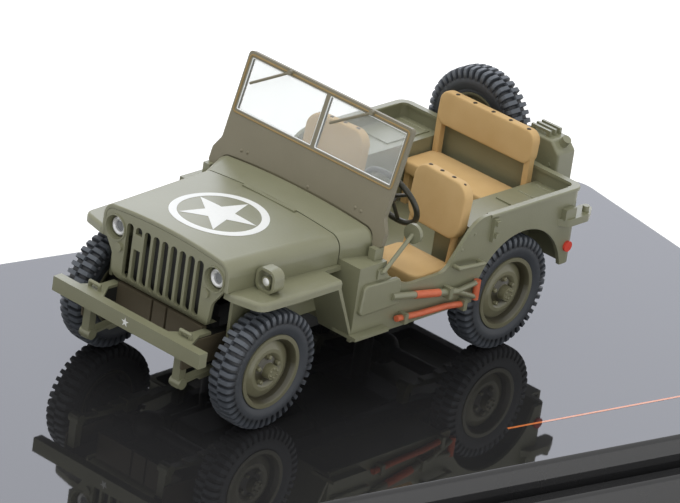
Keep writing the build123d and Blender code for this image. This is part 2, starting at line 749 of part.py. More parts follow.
def seat_back(x0, x1, y, z0, z1, thick, radius, tilt):
    """A padded back with round corners and soft rims, tilted about its lower edge."""
    wide = RectangleRounded(x1 - x0, z1 - z0, radius)
    place = Plane(origin=((x0 + x1) / 2, y, z0), x_dir=(1, 0, 0), z_dir=(0, -1, 0))
    place = place.rotated((-tilt, 0, 0))
    pad = extrude(place * Pos(0, (z1 - z0) / 2) * wide, amount=-thick)
    return fillet(pad.edges().filter_by(GeomType.CIRCLE) + pad.edges().filter_by(Axis.X), thick * 0.35)


cushion_top = floor_top + seat_height
back_low = cushion_top + 4.3
back_high = cushion_top + seat_back_height
seat = cushion(seat_in, seat_out - 0.6, seat_front, seat_rear, floor_top + 1.2, cushion_top, 1.0)
seat += seat_back(seat_in, seat_out, seat_rear - 0.6, back_low, back_high, 1.7, 2.4, 6)
for x in (seat_in + 0.9, seat_out - 1.5):
    post = [
        (x, seat_rear - 0.7, floor_top),
        (x, seat_rear - 0.2, cushion_top - 0.8),
        (x, seat_rear + 0.55, back_low + 1.5),
    ]
    seat += bent_rod(post, 0.5)
    seat += rod((x, seat_front + 1.0, floor_top), (x, seat_front + 1.0, cushion_top - 1.0), 0.5)
seat -= floor
keep("seat_left", seat)
keep("seat_right", mirror(seat, Plane.YZ))

# Rear seat: bench between the wheel houses and a back on two legs.
bench_half = house_in - 0.2
bench_top = floor_top + bench_height
rear_seat = cushion(-bench_half, bench_half, bench_front, panel_in - 1.0, bench_top - 2.0, bench_top, 0.9)
rear_seat += seat_back(-bench_half, bench_half, panel_in - 1.9, tub_top + 0.1, tub_top + 5.2, 1.6, 1.6, 4)
for s in (-1, 1):
    x = s * (bench_half - 0.6)
    rear_seat += block(x - 0.5, x + 0.5, panel_in - 1.7, panel_in - 0.7, floor_top, tub_top + 1.5)
    rear_seat += block(x - 0.5, x + 0.5, bench_front + 1.0, bench_front + 2.0, floor_top, bench_top - 1.0)
keep("rear_seat", rear_seat)

# Steering wheel with three spokes on its column.
axis = Vector(0, math.cos(column_rise), math.sin(column_rise))
wheel_place = Plane(origin=column_top, x_dir=(1, 0, 0), z_dir=axis)
steering = Torus(wheel_ring, 0.42)
steering += Pos(0, 0, -0.1) * Cylinder(0.95, 0.9)
for turn in (90, 210, 330):
    end = (wheel_ring * math.cos(math.radians(turn)), wheel_ring * math.sin(math.radians(turn)), 0)
    steering += rod((0, 0, 0), end, 0.28)
steering = wheel_place * steering
keep("steering_wheel", steering + column)

# Gear lever and the two transfer levers, each with its knob.
lever_y = seat_front - 4.4
levers = []
for x, lean, rise, thick, knob in (  # place across, lean back, height, radius, knob radius
    (0.6, 3.4, 6.6, 0.28, 0.55),
    (-1.6, 1.8, 4.2, 0.25, 0.45),
    (-3.0, 1.6, 3.9, 0.25, 0.45),
):
    tip = (x, lever_y + lean, floor_top + rise)
    levers.append(rod((x, lever_y, floor_top), tip, thick) + Pos(*tip) * Sphere(knob) - floor)
keep("gear_levers", levers)

# Rear-view mirror on an arm from the left panel.
glass_at = (tub_half + 0.35, cowl_rear + 4.1, tub_top + 1.2)
arm_foot = (tub_half, cowl_rear - 1.0, ledge_z - 1.1)
arm_bend = (tub_half + 0.5, cowl_rear - 0.8, ledge_z - 0.7)
arm = bent_rod([arm_foot, arm_bend, (glass_at[0], glass_at[1] + 0.15, glass_at[2] - 0.1)], 0.3)
arm += Pos(tub_half + 0.15, *arm_foot[1:]) * Box(0.3, 1.2, 1.4)
dish = rod(glass_at, (glass_at[0] - 0.05, glass_at[1] + 0.6, glass_at[2]), 1.4)
keep("mirror", arm + dish - panel)

# Shovel on the left panel: dished blade, shaft and forked end with its bar.
tool_x = tub_half + 0.65
blade_front = cowl_rear - 4.6
blade_rear = cowl_rear + 3.4
blade_low = sill_z + 3.7
blade_high = sill_z + 8.3
blade_plan = [
    (blade_front, blade_low + 0.1, 0.7),
    (blade_front + 0.4, blade_high, 0.9),
    (blade_rear - 0.3, blade_high - 0.3, 0.9),
    (blade_rear, blade_low + 0.2, 0.7),
]
blade = side_plate(blade_plan, tub_half, tub_half + 0.6)
blade = fillet(blade.faces().sort_by(Axis.X)[-1].edges(), 0.25)
shaft_run = 13.6
shaft_fall = 2.5


def along_shaft(share, up=0.0):
    """The point that share of the way from the shaft's root to its fork, moved up by up."""
    return (tool_x, blade_rear - 1.9 + share * shaft_run, blade_high - 2.8 - share * shaft_fall + up)


shaft = rod(along_shaft(0), along_shaft(1), 0.5)
shovel = blade + shaft
for up in (1.05, -1.05):
    shovel += rod(along_shaft(1), along_shaft(1.29, up), 0.38)
sleeve = rod(along_shaft(0.35), along_shaft(0.72), 0.56) - shaft
bar = rod(along_shaft(1.31, 1.45), along_shaft(1.31, -1.45), 0.5) - shovel
keep("shovel", shovel)
keep("shovel_grips", [sleeve, bar])

# Axe handle below the shovel, and the clamps that hold both tools.
axe_run = ((3.1, 1.8), (7.7, 1.4), (13.1, 1.2), (17.3, 0.6))  # behind the cowl, above the sill
axe = bent_rod([(tool_x, cowl_rear + back, sill_z + up) for back, up in axe_run], 0.45)
keep("axe_handle", axe)
clamps = []
for back, up, high in ((4.5, 1.65, 0.75), (16.7, 0.7, 0.8)):  # behind the cowl, above the sill, half height
    y = cowl_rear + back
    z = sill_z + up
    clamps.append(block(tub_half, tool_x + 0.7, y - 0.35, y + 0.35, z - high, z + high) - axe)
hold = along_shaft(0.86)
clamp = block(tub_half, tool_x + 0.75, hold[1] - 0.35, hold[1] + 0.35, hold[2] - 0.85, hold[2] + 0.85)
clamps.append(clamp - shovel - sleeve)
keep("tool_clamps", clamps)

# Grab handles on both panels and brackets for the hood bows.
grab_out = tub_half + 1.1
grab_front = (door_rear + 1.7, door_low + 0.6)
grab_rear = (door_rear + 6.7, door_low + 0.2)
grab = [(tub_half, *grab_front), (grab_out, *grab_front), (grab_out, *grab_rear), (tub_half, *grab_rear)]
handle = bent_rod(grab, 0.33)
bow_y = rim_start + 0.4
bow = block(tub_half, tub_half + 0.55, bow_y, bow_y + 0.9, tub_top - 4.1, tub_top - 0.6)
for down in (3.4, 1.6):
    bow += block(tub_half, tub_half + 1.0, bow_y + 0.15, bow_y + 0.75, tub_top - down, tub_top - down + 0.7)
keep("panel_fittings", both(handle) + both(bow))

# Rear corner brackets with a knob, and round reflectors below them.
tongue_low = tub_top - 5.2
tongue_high = tongue_low + 1.1
tongue_plan = [
    (tub_half - 1.6, tub_rear - 4.4),
    (tub_half, tub_rear - 4.4),
    (tub_half + 1.2, tub_rear - 3.4, 0.5),
    (tub_half + 1.2, tub_rear + 0.8, 1.0),
    (tub_half - 0.2, tub_rear + 3.0, 0.5),
    (tub_half - 1.6, tub_rear + 3.0, 0.5),
]
tongue = flat_plate(tongue_plan, tongue_low, tongue_high)
tongue_y = (tub_rear - 4.0, tub_rear - 1.8)
tongue += block(tub_half - 0.2, tub_half + 0.9, *tongue_y, tongue_high - 0.1, tongue_high + 1.5)
knob = (tub_half + 0.2, tub_rear + 1.1)
tongue += rod((*knob, tongue_high - 0.1), (*knob, tongue_high + 0.9), 0.5)
tongue -= tail_core
keep("rear_brackets", both(tongue))
dot = (tub_rear - 1.65, tail_z + 2.7)
dot = rod((tub_half - 0.4, *dot), (tub_half + 0.35, *dot), 0.8) - tail_core
keep("reflectors", both(dot))


# Wheels: dished disc rim with a hub, and a tyre turned from one outline.
def turned(points):
    """A ring turned about X from (along, radius) points."""
    face = make_face(Polyline(*[(a, r) for a, r in points], close=True))
    return revolve(Plane.XY * face, Axis.X)


bore = pin_radius + bore_play
half = tyre_width / 2
rim_points = [
    (-1.7, bead_radius),
    (1.6, bead_radius),
    (1.6, bead_radius + 0.42),
    (1.85, bead_radius + 0.42),
    (1.85, bead_radius - 0.15),
    (1.2, bead_radius - 0.5),
    (0.55, bead_radius - 0.7),
    (1.15, 3.0),
    (1.15, 2.5),
    (0.8, 1.9),
    (1.2, 1.1),
    (2.25, 1.0),
    (2.25, 0),
    (1.6, 0),
    (1.6, bore),
    (-1.1, bore),
    (-1.1, 1.5),
    (0.2, 1.9),
    (0.15, bead_radius - 0.5),
    (-1.7, bead_radius - 0.5),
]
rim_solid = turned(rim_points)


def facets(radius, sides, along):
    """Corners at along the axle of an even polygon whose sides touch a circle."""
    turns = [2 * math.pi * (i + 0.5) / sides for i in range(sides)]
    tip = radius / math.cos(math.pi / sides)
    return [(along, tip * math.cos(t), tip * math.sin(t)) for t in turns]


def bars(scale, along):
    """Tips and roots of the tread bars in turn at along the axle, the first tip at the bottom."""
    corners = []
    for i in range(2 * bar_count):
        t = math.pi * i / bar_count - math.pi / 2
        radius = scale * (tyre_radius - bar_depth * (i % 2))
        corners.append((along, radius * math.cos(t), radius * math.sin(t)))
    return corners


def flat_sided(rings):
    """A solid through rings of as many corners each, with flat sides and flat ends."""
    faces = [Face(Wire.make_polygon(rings[0])), Face(Wire.make_polygon(rings[-1]))]
    for near, far in zip(rings, rings[1:]):
        for i in range(len(near)):
            faces.append(Face(Wire.make_polygon([near[i - 1], near[i], far[i], far[i - 1]])))
    return Solid(Shell(faces))


# Tyre: barred tread with sloping shoulders, hollowed walls and a bore that seats on the rim.
crown_half = half - 0.8
shoulder = 0.93
bead_out = 1.6
tread = ((shoulder, -half), (1, -crown_half), (1, crown_half), (shoulder, half))
tyre_solid = flat_sided([bars(scale, along) for scale, along in tread])
tyre_solid -= flat_sided([facets(bead_radius + 0.02, wall_sides, s * tyre_width) for s in (-1, 1)])
for s in (-1, 1):
    wall_in = facets(bead_radius + 0.47, wall_sides, s * bead_out)
    wall_out = facets(bead_radius + 1.5, wall_sides, s * half)
    tyre_solid -= flat_sided([wall_in, wall_out])
for name, s, y in (
    ("front_left", 1, front_y),
    ("front_right", -1, front_y),
    ("rear_left", 1, rear_y),
    ("rear_right", -1, rear_y),
):
    place = Pos(s * tyre_centre, y, axle_z) * Rot(0, 0, 0 if s > 0 else 180)
    keep("rim_" + name, place * rim_solid)
    keep("tyre_" + name, place * tyre_solid)

# Spare wheel on its carrier at the right of the rear panel.
spare_place = Pos(*spare_centre) * Rot(0, 0, 90)
spare_rim = spare_place * rim_solid
stud_end = spare_centre[1] - 1.1
carrier = rod((spare_side, tub_rear, spare_centre[2]), (spare_side, stud_end, spare_centre[2]), 1.4)
carrier += block(spare_side - 2.6, spare_side + 2.6, tub_rear, tub_rear + 0.5, tub_top - 6.5, tub_top - 0.6)
carrier -= tail + rim
keep("spare_rim", spare_rim)
keep("spare_tyre", spare_place * tyre_solid)

# Fuel can in its bracket at the left of the rear panel.
can_wide = 7.0
can_deep = 3.8
can_tall = 9.2
can_x0 = spare_side + tyre_radius + 0.35
can_x1 = can_x0 + can_wide
can_y0 = tub_rear + 1.8
can_y1 = can_y0 + can_deep
can_mid = (can_y0 + can_y1) / 2
can_low = tub_top - 6.0
can_high = can_low + can_tall
can_front = [
    (can_x0, can_low, 0.5),
    (can_x1, can_low, 0.5),
    (can_x1, can_high - 1.6, 0.6),
    (can_x1 - 1.6, can_high, 0.6),
    (can_x0, can_high, 0.8),
]
can = front_plate(can_front, can_y0, can_y1)
can = fillet(can.faces().sort_by(Axis.Y)[0].edges() + can.faces().sort_by(Axis.Y)[-1].edges(), 0.45)
for y in (can_mid - 1.1, can_mid, can_mid + 1.1):
    can += block(can_x0 + 0.9, can_x1 - 2.6, y - 0.22, y + 0.22, can_high - 0.1, can_high + 0.9)
    can -= block(can_x0 + 1.5, can_x1 - 3.2, y - 0.3, y + 0.3, can_high, can_high + 0.5)
can += rod((can_x1 - 1.4, can_mid, can_high - 1.2), (can_x1 - 0.4, can_mid, can_high + 0.3), 0.7)
for y in (can_y0, can_y1):
    for lean in (35, -35):
        can += Pos((can_x0 + can_x1) / 2, y, can_low + 4.2) * Rot(0, lean, 0) * Box(can_wide - 1.6, 0.3, 0.5)
keep("fuel_can", can)
tray = block(can_x0 - 0.1, can_x1 + 0.3, tub_rear, can_y1 + 0.3, can_low - 0.5, can_low)
tray += block(can_x0 - 0.1, can_x1 + 0.3, can_y1, can_y1 + 0.3, can_low - 0.5, can_low + 1.2)
tray += block(can_x0 + 1.0, can_x1 - 1.0, tub_rear, can_y0, can_low - 0.5, can_low + 5.2)
tray -= tail + rim
tray -= can
keep("rear_carriers", [carrier, tray])

for name, solids in pieces.items():
    moved = [Pos(-plinth_offset[0], -plinth_offset[1], plinth_height) * solid for solid in solids]
    export_step(Compound(moved), f"parts/{name}.step")
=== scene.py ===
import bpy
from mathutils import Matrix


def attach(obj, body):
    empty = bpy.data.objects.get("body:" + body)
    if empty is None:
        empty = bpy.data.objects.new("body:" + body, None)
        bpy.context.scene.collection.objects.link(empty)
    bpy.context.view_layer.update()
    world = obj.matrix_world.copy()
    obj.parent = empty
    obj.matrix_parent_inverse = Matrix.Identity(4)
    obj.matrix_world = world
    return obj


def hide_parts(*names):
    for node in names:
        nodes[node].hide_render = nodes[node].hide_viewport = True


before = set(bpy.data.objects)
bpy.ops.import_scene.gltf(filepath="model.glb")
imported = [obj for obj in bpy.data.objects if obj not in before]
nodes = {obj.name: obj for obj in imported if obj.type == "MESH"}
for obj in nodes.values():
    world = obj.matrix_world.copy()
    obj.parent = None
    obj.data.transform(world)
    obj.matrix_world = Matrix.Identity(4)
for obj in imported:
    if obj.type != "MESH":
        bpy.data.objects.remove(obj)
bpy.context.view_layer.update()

import math

import bmesh
import bpy
import numpy as np
from mathutils import Matrix

# Plinth: one glossy black acrylic moulding with a step for its cover, polished on top, with a thin
# orange stripe printed along one long side. Sizes are in mm in the car's own axes: x to its left,
# y rearwards from mid-wheelbase, z up from the plinth's top.
mm_per_m = 1000.0
weld_gap = 0.0002
plinth_centre = np.array([3.45, 1.6, -12.0])
plinth_turn = math.radians(12.4)


def row(points):
    """Car millimetres to row-frame metres: shift by the plinth's centre, then divide by 1000."""
    return (np.asarray(points, float) - plinth_centre) / mm_per_m


def linear(code):
    """One sRGB hex colour as linear RGBA: c / 12.92 below 0.04045, else ((c + 0.055) / 1.055) ** 2.4."""
    rgb = np.array([int(code[i:i + 2], 16) for i in (1, 3, 5)]) / 255.0
    rgb = np.where(rgb <= 0.04045, rgb / 12.92, ((rgb + 0.055) / 1.055) ** 2.4)
    return (*rgb, 1.0)


def add(owner, kind, inputs, **settings):
    """One node with its settings; an input is a socket to link or a plain value."""
    node = owner.node_tree.nodes.new(kind)
    for key, value in settings.items():
        setattr(node, key, value)
    for key, value in inputs.items():
        if isinstance(value, bpy.types.NodeSocket):
            owner.node_tree.links.new(value, node.inputs[key])
        else:
            node.inputs[key].default_value = value
    return node


def coating(name, dark, light, drift, grain=0.4, rise=0.0, **gloss):
    """A material: colour drifts from dark to light over drift mm, skin rises by rise mm over grain mm."""
    material = bpy.data.materials.new(name)
    material.use_nodes = True
    material.node_tree.nodes.clear()
    place = add(material, "ShaderNodeTexCoord", {}).outputs["Object"]
    clouds = {"Vector": place, "Scale": mm_per_m / drift, "Detail": 4.0}
    cloud = add(material, "ShaderNodeTexNoise", clouds).outputs["Fac"]
    shades = {"Factor": cloud, "A": linear(dark), "B": linear(light)}
    tone = add(material, "ShaderNodeMix", shades, data_type="RGBA")
    inputs = {"Base Color": tone.outputs["Result"]}
    inputs.update({key.replace("_", " "): value for key, value in gloss.items()})
    if rise:
        grains = {"Vector": place, "Scale": mm_per_m / grain, "Detail": 2.0}
        height = add(material, "ShaderNodeTexNoise", grains).outputs["Fac"]
        relief = {"Height": height, "Strength": 0.2, "Distance": rise / mm_per_m}
        inputs["Normal"] = add(material, "ShaderNodeBump", relief).outputs["Normal"]
    skin = add(material, "ShaderNodeBsdfPrincipled", inputs)
    add(material, "ShaderNodeOutputMaterial", {"Surface": skin.outputs["BSDF"]})
    return material


def cover(material, *names):
    """Puts a material on the named solids."""
    for name in names:
        for slot in nodes[name].material_slots:
            slot.material = material


def quads(rows, cols, wrap_rows=False, wrap_cols=False):
    """Faces of a rows x cols grid of points: (i, j), (i, j+1), (i+1, j+1), (i+1, j)."""
    i, j = np.meshgrid(np.arange(rows - (not wrap_rows)), np.arange(cols - (not wrap_cols)), indexing="ij")
    i, j = i.ravel(), j.ravel()
    k, m = (i + 1) % rows, (j + 1) % cols
    return np.stack([i * cols + j, i * cols + m, k * cols + m, k * cols + j], axis=1)


def piece(name, parts, material, body, sharp=35.0, closed=True, over=()):
    """One mesh of (points in mm, faces) pairs: poles and seams welded, closed parts turned outwards."""
    points = [np.reshape(verts, (-1, 3)) for verts, polys in parts]
    starts = np.cumsum([0] + [len(verts) for verts in points[:-1]])
    faces = np.concatenate([polys + start for (verts, polys), start in zip(parts, starts)])
    mesh = bpy.data.meshes.new(name)
    mesh.from_pydata(row(np.concatenate(points)).tolist(), [], faces.tolist())
    work = bmesh.new()
    work.from_mesh(mesh)
    bmesh.ops.remove_doubles(work, verts=work.verts, dist=weld_gap / mm_per_m)
    if closed:
        bmesh.ops.recalc_face_normals(work, faces=work.faces)
    work.to_mesh(mesh)
    work.free()
    mesh.polygons.foreach_set("use_smooth", np.ones(len(mesh.polygons), bool))
    mesh.set_sharp_from_angle(angle=math.radians(sharp))
    mesh.materials.append(material)
    obj = bpy.data.objects.new(name, mesh)
    bpy.context.scene.collection.objects.link(obj)
    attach(obj, body)
    if over:
        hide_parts(*over)
    return obj


def on_plinth(across, along, up):
    """A point of the turned plinth: across and along its sides from its centre, up from its top."""
    c, s = math.cos(plinth_turn), math.sin(plinth_turn)
    x = plinth_centre[0] + np.asarray(across) * c + np.asarray(along) * s
    y = plinth_centre[1] - np.asarray(across) * s + np.asarray(along) * c
    return np.stack([x, y, np.broadcast_to(up, x.shape)], axis=-1)


# Acrylic, cast black and polished: deep black under a clear mirror-like skin.
acrylic = coating("polished_black_acrylic", "#242425", "#2b2b2c", drift=14.0, Roughness=0.03, IOR=1.55)
cover(acrylic, "plinth")
# Printed ink: orange with a slight grain, as glossy as the polished top that it lies on.
orange_ink = coating("orange_printing_ink", "#c86e3c", "#dc8650", drift=0.6, Roughness=0.05, IOR=1.55)
stripe_edges = (28.55, 28.95)
stripe_run = np.linspace(10.8, 66.0, 40)
stripe_lift = 0.02
across, along = np.meshgrid(stripe_edges, stripe_run, indexing="ij")
stripe = (on_plinth(across, along, stripe_lift), quads(*across.shape))
piece("plinth_stripe", [stripe], orange_ink, "model", closed=False)

# Screws that hold the car down: turned steel with slotted heads, blackened, run up through the plinth.
# Blackened steel: near black, satin, with a fine uneven tone.
black_steel = coating("blackened_steel", "#121212", "#1b1b1b", drift=0.9, Roughness=0.5)
cover(black_steel, "plinth_screws")

# Chassis: frame, gearbox, shafts, silencer, axles and radiator, moulded in black plastic and
# clipped together. The skin is satin with a trace of the mould's grain.
black_moulding = coating("satin_black_moulding", "#191a19", "#2a2a28", drift=0.4, grain=0.4, rise=0.06,
                         Roughness=0.48)
cover(black_moulding, "chassis_frame", "drivetrain", "exhaust", "front_axle", "rear_axle", "radiator")

# Apron under the grille and windscreen frame: pressed pieces in a browner olive than the body,
# sprayed satin over the moulding.
# Sprayed paint has a very fine orange peel, drawn coarser than it is: waves 0.35 mm apart.
spray_peel = {"grain": 0.35, "rise": 0.05}
# Brown-olive paint: warm grey-brown, satin.
brown_olive = coating("satin_brown_olive_paint", "#756f5b", "#807a66", drift=6.0, **spray_peel,
                      Roughness=0.42)
cover(brown_olive, "windscreen_frame", "wipers")
# The apron lies in shade: it is the same paint, darkened as painted shade, with a duller coat.
shaded_apron_paint = coating("shaded_dull_brown_olive_paint", "#4f4838", "#5b5342", drift=5.0, **spray_peel, Roughness=0.6)
cover(shaded_apron_paint, "front_apron")

# Tub, front end and fittings: die-cast and moulded pieces sprayed in olive drab and fixed with
# pins. The paint is satin and slightly cloudy.
olive = coating("satin_olive_paint", "#7a7a60", "#87876e", drift=7.0, **spray_peel, IOR=1.65, Roughness=0.37)
cover(olive, "leaf_springs", "front_bumper", "rear_bumperettes", "floor_pan", "side_panel_left",
      "side_panel_right", "rear_panel", "wheel_houses", "cowl", "hood", "grille", "fender_left",
      "fender_right", "headlamps", "blackout_lamp", "windscreen_hinges", "mirror", "shovel", "tool_clamps",
      "panel_fittings", "rear_brackets", "rear_carriers", "fuel_can")

# Skirts on the frame's horns and closed ends on the bumper: flat pressed plates. The skirts hang on
# the rails' outer faces, in the apron's paint with its painted shade, and the ends fill the bumper's
# channel.
bumper_z = 12.2
skirt_place = np.array([9.46, -29.85, 10.62])
end_place = np.array([13.75, -34.87, bumper_z])
both_sides = ((1, 1, 1), (-1, 1, 1))


def rounded(half_x, half_y, corner, steps=8):
    """Edge and outward direction of a rounded rectangle: each corner's centre + corner (cos t, sin t)."""
    turn = (np.arange(4)[:, None] + np.linspace(0, 1, steps)).ravel() * np.pi / 2
    away = np.stack([np.cos(turn), np.sin(turn)], axis=-1)
    centre = np.array([[1, 1], [-1, 1], [-1, -1], [1, -1]]) * [half_x - corner, half_y - corner]
    return np.repeat(centre, steps, axis=0) + corner * away, away


def plate(centre, half_y, half_z, corner, thick):
    """A rounded plate across x: its edge at both faces, with each face drawn in to its middle."""
    edge = rounded(half_y, half_z, corner)[0]
    share = np.array([0.0, 1.0, 1.0, 0.0])[:, None]
    depth = np.array([-0.5, -0.5, 0.5, 0.5])[:, None] * thick
    offset = [np.broadcast_to(depth, (4, len(edge))), share * edge[:, 0], share * edge[:, 1]]
    return np.asarray(centre, float) + np.stack(offset, axis=-1), quads(4, len(edge), wrap_cols=True)


skirts = [plate(skirt_place * flip, half_y=4.45, half_z=1.9, corner=0.4, thick=0.26) for flip in both_sides]
piece("rail_skirts", skirts, shaded_apron_paint, "model")
ends = [plate(end_place * flip, half_y=0.5, half_z=0.56, corner=0.05, thick=0.36) for flip in both_sides]
piece("bumper_ends", ends, olive, "model")

# Rivet heads on both side panels, and the seams of the tool box lids on the wheel houses: raised
# in the casting, so they carry the body's paint. A head's outline is (radius, height) pairs.
rivet = ((0.0, 0.14), (0.12, 0.12), (0.21, 0.07), (0.26, 0.0), (0.26, -0.1), (0.0, -0.1))
panel_face = 17.2
lid_top = 20.7


def turned(centres, axis, profile, sides=20):
    """A (radius, height) profile swept round each centre: centre + r (u cos t + v sin t) + h axis."""
    off_axis = (0.31, 0.17, 0.94)
    axis = np.asarray(axis, float) / np.linalg.norm(axis)
    u = np.cross(axis, off_axis)
    u /= np.linalg.norm(u)
    turn = np.linspace(0, 2 * np.pi, sides, endpoint=False)[None, :, None]
    r, h = np.array(profile).T[:, :, None, None]
    swept = r * (u * np.cos(turn) + np.cross(axis, u) * np.sin(turn)) + h * axis
    faces = quads(len(profile), sides, wrap_cols=True)
    return [(np.asarray(centre, float) + swept, faces) for centre in centres]


def tube(path, radius, normal, sides=10, start=0.0, loop=False):
    """A round bar: path point + radius (side cos t + normal sin t), drawn in to a point at open ends."""
    path = np.asarray(path, float)
    if loop:
        run = np.roll(path, -1, axis=0) - np.roll(path, 1, axis=0)
    else:
        ends_twice = [0, *range(len(path)), -1]
        run = np.gradient(path, axis=0)[ends_twice]
        path = path[ends_twice]
    size = np.full(len(path), radius)
    if not loop:
        size[[0, -1]] = 0.0
    side = np.cross(run, normal)
    side /= np.linalg.norm(side, axis=1, keepdims=True)
    over = np.cross(side, run)
    over /= np.linalg.norm(over, axis=1, keepdims=True)
    turn = np.linspace(0, 2 * np.pi, sides, endpoint=False)[None, :, None] + start
    ring = side[:, None] * np.cos(turn) + over[:, None] * np.sin(turn)
    swept = path[:, None] + size[:, None, None] * ring
    return swept, quads(len(path), sides, wrap_rows=loop, wrap_cols=True)


panel_rivets = []
seams = []
for side in (1, -1):
    heads = [(side * panel_face, y, z) for y, z in ((13.28, 20.6), (11.07, 18.69))]
    panel_rivets += turned(heads, (side, 0, 0), rivet)
    for back in (29.7, 33.4):
        seam = [(side * x, back, lid_top) for x in (10.6, 13.0, 15.6)]
        seams.append(tube(seam, radius=0.13, normal=(0, 0, 1)))
piece("panel_rivets", panel_rivets, olive, "model")
piece("lid_seams", seams, olive, "model")

# Dark cord in the seam between hood and cowl, along the fire wall's edge: painted shade, a black strip
# that keeps light from showing through the seam.
shade_cord_y = -9.96
shade_cord_half = 12.9
shade_cord_foot = 20.6
shade_cord_top = 24.2
shade_cord_fall = 0.6
shade_cord_corner = 1.7
shoulder_x = 11.2
shoulder_z = 21.9
bend = np.linspace(0, np.pi / 2, 10)
bend_x = shoulder_x + shade_cord_corner * np.cos(bend)
bend_z = shoulder_z + shade_cord_corner * np.sin(bend)
crown_x = np.linspace(shoulder_x, -shoulder_x, 41)[1:-1]
crown_z = shade_cord_top - shade_cord_fall * (crown_x / shoulder_x) ** 2
shade_cord_x = np.concatenate([[shade_cord_half], bend_x, crown_x, -bend_x[::-1], [-shade_cord_half]])
shade_cord_z = np.concatenate([[shade_cord_foot], bend_z, crown_z, bend_z[::-1], [shade_cord_foot]])
shade_cord_path = np.column_stack([shade_cord_x, np.full_like(shade_cord_x, shade_cord_y), shade_cord_z])
shade_cord = tube(shade_cord_path, radius=0.2, normal=(0, 1, 0))
piece("hood_seam_shade", [shade_cord], black_moulding, "model", sharp=60.0)

# Hood marking: a white five-pointed star in a ring, pad-printed flat on the crowned hood,
# and a small star of the same ink in the middle of the bumper.
# White ink: flat off-white with a slight grain.
white_ink = coating("white_printing_ink", "#e6e8e6", "#f0f1ef", drift=0.5, Roughness=0.5)
hood_front = -29.3
hood_length = 19.28
hood_height = 24.6
hood_fall = 0.1
hood_crown = 0.6
front_half = 9.9
half_gain = 1.3
mark_y = -20.1
mark_lift = 0.025
bumper_mark_y = -35.87


def hood_top(x, y):
    """Height of the hood's skin: a straight fall along y less a crown, parabolic in x, wider to the rear."""
    t = (y - hood_front) / hood_length
    return hood_height - hood_fall * t - hood_crown * (x / (front_half + half_gain * t)) ** 2


def star_edge(angle, outer):
    """Radius of a five-pointed star with a point at angle 0: straight runs from tip to 0.382 tips."""
    half = np.pi / 5
    turn = np.abs((angle + half) % (2 * half) - half)
    inner = outer * 0.381966
    return outer * inner * np.sin(half) / (outer * np.sin(turn) + inner * np.sin(half - turn))


def on_hood(reach, turn):
    """A print on the hood: reach (sin t, cos t) from the mark's middle, a film's lift above the skin."""
    x, y = reach * np.sin(turn), mark_y + reach * np.cos(turn)
    points = np.stack([x, y, hood_top(x, y) + mark_lift], axis=-1)
    return points, quads(*reach.shape, wrap_cols=True)[:, ::-1]


angle = np.linspace(0, 2 * np.pi, 121)[:-1]
share, turn = np.meshgrid(np.linspace(0, 1, 12), angle, indexing="ij")
star = on_hood(share * star_edge(turn, outer=5.6), turn)
width, turn = np.meshgrid(np.linspace(5.75, 6.85, 4), angle, indexing="ij")
ring = on_hood(width, turn)
piece("hood_star", [star, ring], white_ink, "model", closed=False)
share, turn = np.meshgrid(np.linspace(0, 1, 4), angle, indexing="ij")
reach = share * star_edge(turn, outer=0.72)
flat = [reach * np.sin(turn), np.full_like(reach, bumper_mark_y), bumper_z + reach * np.cos(turn)]
star = (np.stack(flat, axis=-1), quads(*reach.shape, wrap_cols=True)[:, ::-1])
piece("bumper_star", [star], white_ink, "model", closed=False)

# Lamps: clear pressed-glass lenses with upright flutes, each in a bright ring pushed into the
# painted cup, and a bright lens in the blackout lamp.
# Bright silver paint: pale, with the soft gleam of fine flakes.
silver = coating("bright_silver_paint", "#e4e5e6", "#f2f2f2", drift=0.8, Metallic=0.3, Roughness=0.3)
forwards = (0, -1, 0)
headlamp_places = ((9.35, -29.1, 20.95), (-9.35, -29.1, 20.95))
blackout_place = (14.14, -25.02, 21.4)
lamp_ring = ((0.78, -0.4), (0.78, 0.06), (0.86, 0.16), (1.06, 0.22), (1.24, 0.16), (1.32, 0.04),
             (1.32, -0.4), (0.78, -0.4))
rings = turned(headlamp_places, forwards, lamp_ring, sides=48)
piece("headlamp_rims", rings, silver, "model")
bulb = ((0.0, 0.16), (0.25, 0.14), (0.45, 0.08), (0.58, 0.0), (0.58, -0.1), (0.0, -0.1))
piece("blackout_lens", turned([blackout_place], forwards, bulb), silver, "model")
# Fluted glass: grey and half clear, with upright ribs drawn about 0.6 mm apart, coarser than they are.
# A wave texture at scale 1 repeats every pi / 10 of a metre.
fluted = coating("fluted_lamp_glass", "#b4b7ba", "#cfd2d4", drift=0.6, Roughness=0.12,
                 Transmission_Weight=0.5, IOR=1.3)
rib_pitch = 0.5922
rib_height = 0.1
place = add(fluted, "ShaderNodeTexCoord", {}).outputs["Object"]
ribs = add(fluted, "ShaderNodeTexWave", {"Vector": place, "Scale": math.pi / 10 * mm_per_m / rib_pitch})
relief = {"Height": ribs.outputs["Fac"], "Strength": 0.5, "Distance": rib_height / mm_per_m}
bump = add(fluted, "ShaderNodeBump", relief)
skin = fluted.node_tree.nodes["Principled BSDF"]
fluted.node_tree.links.new(bump.outputs["Normal"], skin.inputs["Normal"])
cover(fluted, "headlamp_lenses")

# Windscreen: two clear styrene panes set in the frame behind a thin sealing bead, drawn gold-tan as a
# painted highlight, with round rivet heads and a stud on the lower panel.
screen_lean = math.radians(15.5)
screen_foot = np.array([0.0, -4.95, 24.2])
screen_up = np.array([0.0, math.sin(screen_lean), math.cos(screen_lean)])
screen_out = np.array([0.0, -math.cos(screen_lean), math.sin(screen_lean)])


def on_screen(x, h, out):
    """The point x across, h up the windscreen's lean from its foot and out along its normal."""
    foot = screen_foot + np.multiply.outer(out, screen_out)
    return foot + np.multiply.outer(x, [1.0, 0.0, 0.0]) + np.multiply.outer(h, screen_up)
